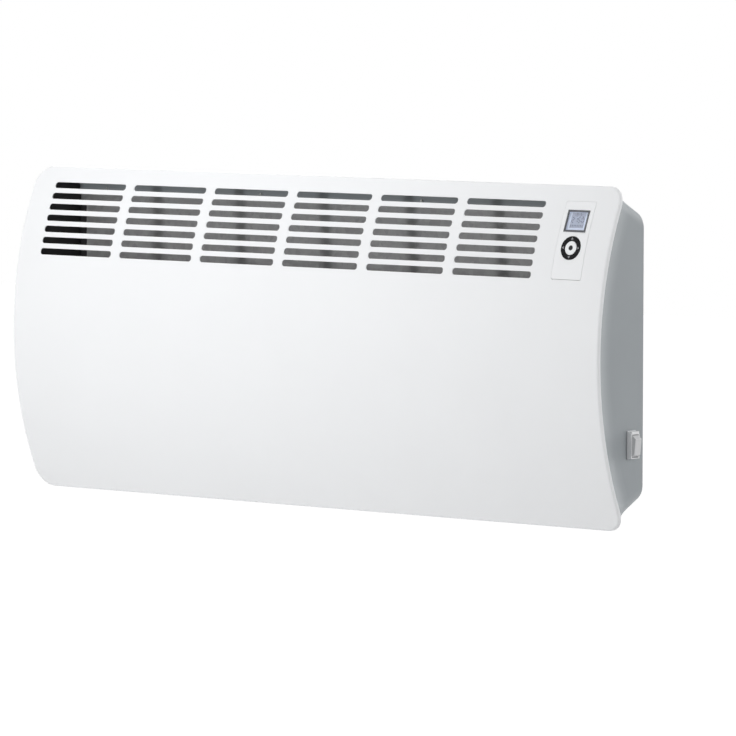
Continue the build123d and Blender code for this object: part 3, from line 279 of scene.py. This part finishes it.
looks = {
    "white_enamel": coated("white_enamel", white_enamel, roughness=0.46, relief=0.03, variation=0.006,
                           specular=0.3),
    "white_plastic": coated("white_plastic", shade(white_enamel, 1.01), roughness=0.4, relief=0.015,
                            variation=0.004, specular=0.4),
    "grey_moulding": coated("grey_moulding", casing_grey, roughness=0.46, grain=2200.0, relief=0.07,
                            variation=0.02),
    "grey_enamel": coated("grey_enamel", shade(casing_grey, 1.02), roughness=0.42, relief=0.04,
                          variation=0.015),
    "galvanised": spangled("galvanised", (0.335, 0.335, 0.337), roughness=0.5, metallic=0.25),
    # Near-black paint for the left bulkhead: painted shade, standing for the unlit inner end of the heater
    # seen through the slots.
    "dark_enamel": coated("dark_enamel", (0.02, 0.02, 0.021), roughness=0.5, relief=0.04, variation=0.05),
    "dull_zinc": spangled("dull_zinc", (0.48, 0.49, 0.50), roughness=0.36),
    "bright_sheet": brushed("bright_sheet", (0.62, 0.62, 0.63), stretch=(1, 60, 60)),
    "aluminium": brushed("aluminium", (0.66, 0.66, 0.67), stretch=(60, 1, 1)),
    "heated_steel": brushed("heated_steel", (0.30, 0.26, 0.22), roughness=0.45, stretch=(1, 40, 40)),
    "screw_steel": brushed("screw_steel", (0.62, 0.62, 0.6), roughness=0.3, stretch=(30, 30, 30)),
    "brass": brushed("brass", (0.78, 0.58, 0.28), stretch=(10, 40, 40)),
    "ceramic": coated("ceramic", (0.76, 0.72, 0.63), roughness=0.5, relief=0.06, variation=0.03),
    "buffer_rubber": coated("buffer_rubber", (0.035, 0.035, 0.037), roughness=0.7, grain=900.0,
                            relief=0.12, variation=0.1),
    "dark_moulding": coated("dark_moulding", (0.03, 0.028, 0.027), roughness=0.5, relief=0.08,
                            variation=0.08),
    "inner_plastic": coated("inner_plastic", (0.6, 0.6, 0.58), roughness=0.5, relief=0.05),
    "display_frame": coated("display_frame", (0.07, 0.073, 0.085), roughness=0.25, relief=0.01,
                            variation=0.03, coat=0.3),
    "window": clear_window("window"),
    "screen": screen_panel("screen", (0.68, 0.73, 0.83)),
    "light_guide": coated("light_guide", (0.8, 0.82, 0.85), roughness=0.3, relief=0.01),
    "board": circuit("board"),
    "key_black": coated("key_black", (0.007, 0.007, 0.008), roughness=0.5, grain=2600.0, relief=0.05,
                        variation=0.05, specular=0.1),
    "core_steel": brushed("core_steel", (0.28, 0.27, 0.26), roughness=0.5, stretch=(240, 1, 1)),
    "terminal": coated("terminal", (0.7, 0.69, 0.62), roughness=0.45, relief=0.04),
    "wire_brown": coated("wire_brown", (0.22, 0.08, 0.045), roughness=0.4, relief=0.02, variation=0.04),
    "wire_blue": coated("wire_blue", (0.04, 0.12, 0.35), roughness=0.4, relief=0.02, variation=0.04),
    "switch_frame_grey": coated("switch_frame_grey", (0.80, 0.805, 0.815), roughness=0.4, relief=0.04,
                                variation=0.02),
    "rocker_grey": coated("rocker_grey", (0.62, 0.625, 0.635), roughness=0.35, relief=0.03,
                          variation=0.015),
    "capacitor_sleeve": coated("capacitor_sleeve", (0.02, 0.03, 0.09), roughness=0.3, relief=0.01),
    "mark_light": coated("mark_light", (0.22, 0.22, 0.23), roughness=0.5, relief=0.01),
    # Near-black marks: print for the OK key's dot, painted shade for the crosses on the screw heads.
    "dark_print_and_shade": coated("dark_print_and_shade", (0.012, 0.012, 0.014), roughness=0.5, relief=0.01, specular=0.2),
    "mark_screen": coated("mark_screen", (0.11, 0.13, 0.18), roughness=0.35, relief=0.01),
    "screen_field": coated("screen_field", (0.37, 0.40, 0.48), roughness=0.3, relief=0.01, variation=0.01),
}

look_of_node = {
    "bracket_uprights": "dull_zinc", "bracket_upper_rail": "dull_zinc",
    "bracket_lower_rail": "dull_zinc", "bracket_hooks": "dull_zinc", "bracket_rivets": "aluminium",
    "front_panel": "white_enamel", "panel_brackets": "white_enamel",
    "side_cheek_left": "grey_moulding", "side_cheek_right": "grey_moulding",
    "top_channel": "grey_enamel", "bottom_channel": "grey_enamel",
    "rear_panel": "galvanised", "rear_panel_screws": "screw_steel", "wall_buffers": "buffer_rubber",
    # The left bulkhead's near-black look is painted shade.
    "partition_plate": "galvanised", "left_bulkhead": "dark_enamel", "heat_shield": "bright_sheet",
    "front_baffle": "bright_sheet", "element_tube": "heated_steel", "element_fins": "aluminium",
    "element_bushes": "ceramic", "element_pins": "brass", "thermal_cutout": "dark_moulding",
    "control_plate": "white_plastic", "control_housing": "inner_plastic",
    "display_bezel": "display_frame", "display_window": "window", "display_glass": "screen",
    "display_light": "light_guide", "control_board": "board", "key_switches": "dark_moulding",
    "key_carrier": "inner_plastic", "power_board": "board", "board_spacers": "inner_plastic",
    "relays": "dark_moulding", "transformer": "core_steel", "capacitors": "capacitor_sleeve",
    "power_terminals": "terminal", "element_leads": "wire_brown", "mains_leads": "wire_blue",
    "switch_frame": "switch_frame_grey", "switch_rocker": "rocker_grey",
    "switch_contacts": "dark_moulding", "terminal_block": "terminal", "cord_gland": "key_black",
    "gland_nut": "key_black", "sensor_holder": "inner_plastic", "room_sensor": "screw_steel",
    "up_key": "key_black", "down_key": "key_black", "left_key": "key_black",
    "right_key": "key_black", "ok_key": "white_plastic",
}


def dress_nodes():
    """Every CAD node gets its material."""
    for name, look in look_of_node.items():
        slots = nodes[name].data.materials
        slots.clear()
        slots.append(looks[look])


def bow_frame(node):
    """Centre, right, up and outward directions of a piece that stands square on the bow."""
    low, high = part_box(node)
    middle = (low + high) / 2
    angle = math.atan2(middle.z, bow_axis_y - middle.y)
    up = Vector((0, math.sin(angle), math.cos(angle)))
    out = Vector((0, -math.cos(angle), math.sin(angle)))
    return middle, Vector((1, 0, 0)), up, out


def reach(node, direction):
    """The lowest and highest value of a node's points along a direction."""
    values = [vertex.co.dot(direction) for vertex in nodes[node].data.vertices]
    return min(values), max(values)


def add_piece(name, mesh, look, body):
    """Link a mesh as a piece that rides on a body."""
    piece = bpy.data.objects.new(name, mesh)
    bpy.context.scene.collection.objects.link(piece)
    mesh.materials.append(looks[look])
    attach(piece, body)
    return piece


def mark(name, outlines, origin, right, up, out, thickness, look, body):
    """Thin raised marks: each outline is a list of (right, up) points round one mark."""
    shape = bmesh.new()
    for outline in outlines:
        low = [shape.verts.new(origin + right * u + up * v) for u, v in outline]
        high = [shape.verts.new(origin + right * u + up * v + out * thickness) for u, v in outline]
        shape.faces.new(high)
        count = len(outline)
        for index in range(count):
            after = (index + 1) % count
            shape.faces.new((low[index], low[after], high[after], high[index]))
    mesh = bpy.data.meshes.new(name)
    shape.to_mesh(mesh)
    shape.free()
    return add_piece(name, mesh, look, body)


def rounded_bar(length, height, turn=0.0, centre=(0.0, 0.0), steps=5):
    """Outline of a bar with round ends, turned about its centre."""
    radius = height / 2
    half = length / 2 - radius
    points = []
    for end, start in ((1, -math.pi / 2), (-1, math.pi / 2)):
        for step in range(steps + 1):
            angle = start + math.pi * step / steps
            points.append((end * half + radius * math.cos(angle), radius * math.sin(angle)))
    cosine, sine = math.cos(turn), math.sin(turn)
    return [(centre[0] + u * cosine - v * sine, centre[1] + u * sine + v * cosine) for u, v in points]


def round_outline(radius, centre=(0.0, 0.0), steps=28):
    """Outline of a round dot."""
    return [(centre[0] + radius * math.cos(2 * math.pi * step / steps),
             centre[1] + radius * math.sin(2 * math.pi * step / steps)) for step in range(steps)]


def arrowhead(width, height, turn, centre):
    """Outline of a triangle with blunt corners that points away from the ring's middle."""
    blunt = 0.12
    corners = [Vector((-height / 2, -width / 2)), Vector((height / 2, 0)), Vector((-height / 2, width / 2))]
    cosine, sine = math.cos(turn), math.sin(turn)
    points = []
    for index, corner in enumerate(corners):
        for other in (corners[index - 1], corners[(index + 1) % 3]):
            place_at = corner.lerp(other, blunt)
            points.append((centre[0] + place_at.x * cosine - place_at.y * sine,
                           centre[1] + place_at.x * sine + place_at.y * cosine))
    return points


def key_marks():
    """A small pale arrowhead on each outer key and a dark dot on the middle one."""
    middle, right, up, out = bow_frame("ok_key")
    for name, turn in (("right_key", 0), ("up_key", 90), ("left_key", 180), ("down_key", 270)):
        level = reach(name, out)[1] - middle.dot(out)
        angle = math.radians(turn)
        centre = (arrow_distance * math.cos(angle), arrow_distance * math.sin(angle))
        outline = arrowhead(arrow_width, arrow_height, angle, centre)
        mark(name + "_mark", [outline], middle + out * level, right, up, out, mark_thickness,
             "mark_light", name)
    level = reach("ok_key", out)[1] - middle.dot(out)
    mark("ok_key_dot", [round_outline(middle_dot_radius)], middle + out * level, right, up, out,
         mark_thickness, "dark_print_and_shade", "ok_key")


def seven_segments(digit, centre, width, height, stroke):
    """Outlines of the lit strokes of one plain figure."""
    lit = {0: "abcdef", 1: "bc", 2: "abged", 3: "abgcd", 5: "afgcd", 8: "abcdefg"}[digit]
    half_w = width / 2
    quarter = height / 4
    gap = stroke * 0.25
    level = {"a": (0, 2 * quarter), "g": (0, 0), "d": (0, -2 * quarter)}
    upright = {"b": (half_w, quarter), "c": (half_w, -quarter), "f": (-half_w, quarter),
               "e": (-half_w, -quarter)}
    outlines = []
    for letter in lit:
        if letter in level:
            u, v = level[letter]
            outlines.append(rounded_bar(width - 2 * gap, stroke, 0.0, (centre[0] + u, centre[1] + v), 2))
        else:
            u, v = upright[letter]
            outlines.append(rounded_bar(2 * quarter - 2 * gap, stroke, math.pi / 2,
                                        (centre[0] + u, centre[1] + v), 2))
    return outlines


def display_figures():
    """Plain figures and level bars on the screen, in three rows on a slightly darker field."""
    middle, right, up, out = bow_frame("display_glass")
    level = reach("display_glass", out)[1] - middle.dot(out)
    field = [(-field_half_width, field_bottom), (field_half_width, field_bottom),
             (field_half_width, field_top), (-field_half_width, field_top)]
    mark("display_field", [field], middle + out * level, right, up, out, screen_mark_thickness / 2,
         "screen_field", "heater")
    outlines = []
    for figure, place_right in small_figures:
        outlines += seven_segments(figure, (place_right, small_row_height), *small_figure_size,
                                   small_stroke)
    for dot_height in (small_row_height + colon_half_gap, small_row_height - colon_half_gap):
        outlines.append(round_outline(colon_dot_radius, (colon_right, dot_height), 10))
    for figure, place_right in large_figures:
        outlines += seven_segments(figure, (place_right, large_row_height), *large_figure_size,
                                   large_stroke)
    for index in range(bar_count):
        place_right = first_bar_right + index * bar_pitch
        outlines.append(rounded_bar(*bar_size, 0.0, (place_right, bar_row_height), 2))
    mark("display_figures", outlines, middle + out * level, right, up, out, screen_mark_thickness,
         "mark_screen", "heater")


def screw_centres():
    """The middle of each of the rear panel's screws, to the right and up."""
    screws = []
    for vertex in nodes["rear_panel_screws"].data.vertices:
        x, z = vertex.co.x, vertex.co.z
        for screw in screws:
            if math.hypot(x - screw[0][0], z - screw[0][1]) < screw_reach:
                screw.append((x, z))
                break
        else:
            screws.append([(x, z)])
    return [((min(x for x, z in screw) + max(x for x, z in screw)) / 2,
             (min(z for x, z in screw) + max(z for x, z in screw)) / 2) for screw in screws]


def screw_recess_painted_shade():
    """Painted shade: flat near-black crosses on the heads of the rear panel's screws, standing for the
    shade in their cross recesses.
    """
    head_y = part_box("rear_panel_screws")[1].y
    outlines = []
    for x, z in screw_centres():
        for turn in (math.pi / 4, -math.pi / 4):
            outlines.append(rounded_bar(recess_length, recess_width, turn, (-x, z), 3))
    mark("screw_recess_painted_shade", outlines, Vector((0, head_y, 0)), Vector((-1, 0, 0)), Vector((0, 0, 1)),
         Vector((0, 1, 0)), mark_thickness, "dark_print_and_shade", "heater")


def camera():
    """The camera of the photograph."""
    back = Vector((math.sin(camera_azimuth) * math.cos(camera_elevation),
                   -math.cos(camera_azimuth) * math.cos(camera_elevation), math.sin(camera_elevation)))
    level = Vector((math.cos(camera_azimuth), math.sin(camera_azimuth), 0))
    upward = back.cross(level)
    right = level * math.cos(camera_roll) + upward * math.sin(camera_roll)
    up = upward * math.cos(camera_roll) - level * math.sin(camera_roll)
    data = bpy.data.cameras.new("camera")
    data.lens = camera_lens
    data.sensor_width = camera_sensor
    data.clip_start = 0.5
    data.clip_end = 60.0
    data.dof.use_dof = False
    made = bpy.data.objects.new("camera", data)
    bpy.context.scene.collection.objects.link(made)
    turn = Matrix((right, up, back)).transposed().to_4x4()
    made.matrix_world = Matrix.Translation(camera_target + back * camera_distance) @ turn
    bpy.context.scene.camera = made


def area_light(name, place_at, aim, size, power, spread):
    """A soft rectangular light that points at a place; a smaller spread keeps its beam together."""
    data = bpy.data.lights.new(name, "AREA")
    data.shape = "RECTANGLE"
    data.size, data.size_y = size
    data.energy = power
    data.spread = math.radians(spread)
    made = bpy.data.objects.new(name, data)
    bpy.context.scene.collection.objects.link(made)
    made.location = place_at
    made.rotation_mode = "QUATERNION"
    made.rotation_quaternion = (Vector(place_at) - Vector(aim)).to_track_quat("Z", "Y")


def seen_factor(tree):
    """1 where a surface is seen directly, in a reflection or through glass, and 0 for other light."""
    path = tree.nodes.new("ShaderNodeLightPath")
    seen = path.outputs["Is Camera Ray"]
    for way in ("Is Glossy Ray", "Is Transmission Ray"):
        either = tree.nodes.new("ShaderNodeMath")
        either.operation = "MAXIMUM"
        tree.links.new(seen, either.inputs[0])
        tree.links.new(path.outputs[way], either.inputs[1])
        seen = either.outputs["Value"]
    return seen


def white_surroundings():
    """A world that looks white and lights the object with a low, even light."""
    world = bpy.data.worlds.new("studio")
    bpy.context.scene.world = world
    world.use_nodes = True
    tree = world.node_tree
    tree.nodes.clear()
    output = tree.nodes.new("ShaderNodeOutputWorld")
    ambient = tree.nodes.new("ShaderNodeBackground")
    ambient.inputs["Color"].default_value = (1, 1, 1, 1)
    ambient.inputs["Strength"].default_value = ambient_strength
    white = tree.nodes.new("ShaderNodeBackground")
    white.inputs["Color"].default_value = (1, 1, 1, 1)
    white.inputs["Strength"].default_value = white_strength
    mix = tree.nodes.new("ShaderNodeMixShader")
    tree.links.new(seen_factor(tree), mix.inputs["Fac"])
    tree.links.new(ambient.outputs[0], mix.inputs[1])
    tree.links.new(white.outputs[0], mix.inputs[2])
    tree.links.new(mix.outputs[0], output.inputs["Surface"])


def floor_paint():
    """Matt pale paint that looks white far off, keeps the object's shadow and isn't seen from below."""
    made = bpy.data.materials.new("floor_paint")
    made.use_nodes = True
    tree = made.node_tree
    tree.nodes.clear()
    output = tree.nodes.new("ShaderNodeOutputMaterial")
    matt = tree.nodes.new("ShaderNodeBsdfDiffuse")
    matt.inputs["Color"].default_value = floor_colour
    glow = tree.nodes.new("ShaderNodeEmission")
    side = tree.nodes.new("ShaderNodeNewGeometry")
    away = tree.nodes.new("ShaderNodeVectorMath")
    away.operation = "LENGTH"
    tree.links.new(side.outputs["Position"], away.inputs[0])
    level = tree.nodes.new("ShaderNodeMapRange")
    level.inputs["From Min"].default_value = floor_near
    level.inputs["From Max"].default_value = floor_far
    level.inputs["To Min"].default_value = floor_glow_near
    level.inputs["To Max"].default_value = floor_glow
    tree.links.new(away.outputs["Value"], level.inputs["Value"])
    strength = tree.nodes.new("ShaderNodeMath")
    strength.operation = "MULTIPLY"
    tree.links.new(seen_factor(tree), strength.inputs[0])
    tree.links.new(level.outputs["Result"], strength.inputs[1])
    tree.links.new(strength.outputs["Value"], glow.inputs["Strength"])
    upper = tree.nodes.new("ShaderNodeAddShader")
    tree.links.new(matt.outputs["BSDF"], upper.inputs[0])
    tree.links.new(glow.outputs["Emission"], upper.inputs[1])
    under = tree.nodes.new("ShaderNodeBsdfTransparent")
    mix = tree.nodes.new("ShaderNodeMixShader")
    tree.links.new(side.outputs["Backfacing"], mix.inputs["Fac"])
    tree.links.new(upper.outputs["Shader"], mix.inputs[1])
    tree.links.new(under.outputs["BSDF"], mix.inputs[2])
    tree.links.new(mix.outputs["Shader"], output.inputs["Surface"])
    return made


def studio():
    """Plain white floor, white surroundings and soft light."""
    white_surroundings()
    corners = [(-floor_reach, -floor_reach, floor_z), (floor_reach, -floor_reach, floor_z),
               (floor_reach, floor_reach, floor_z), (-floor_reach, floor_reach, floor_z)]
    mesh = bpy.data.meshes.new("floor")
    mesh.from_pydata(corners, [], [(0, 1, 2, 3)])
    mesh.materials.append(floor_paint())
    floor = bpy.data.objects.new("floor", mesh)
    bpy.context.scene.collection.objects.link(floor)
    for name, values in lamps.items():
        area_light(name, *values)


dress_nodes()
key_marks()
display_figures()
screw_recess_painted_shade()
camera()
studio()
bpy.context.scene.view_settings.view_transform = "Standard"
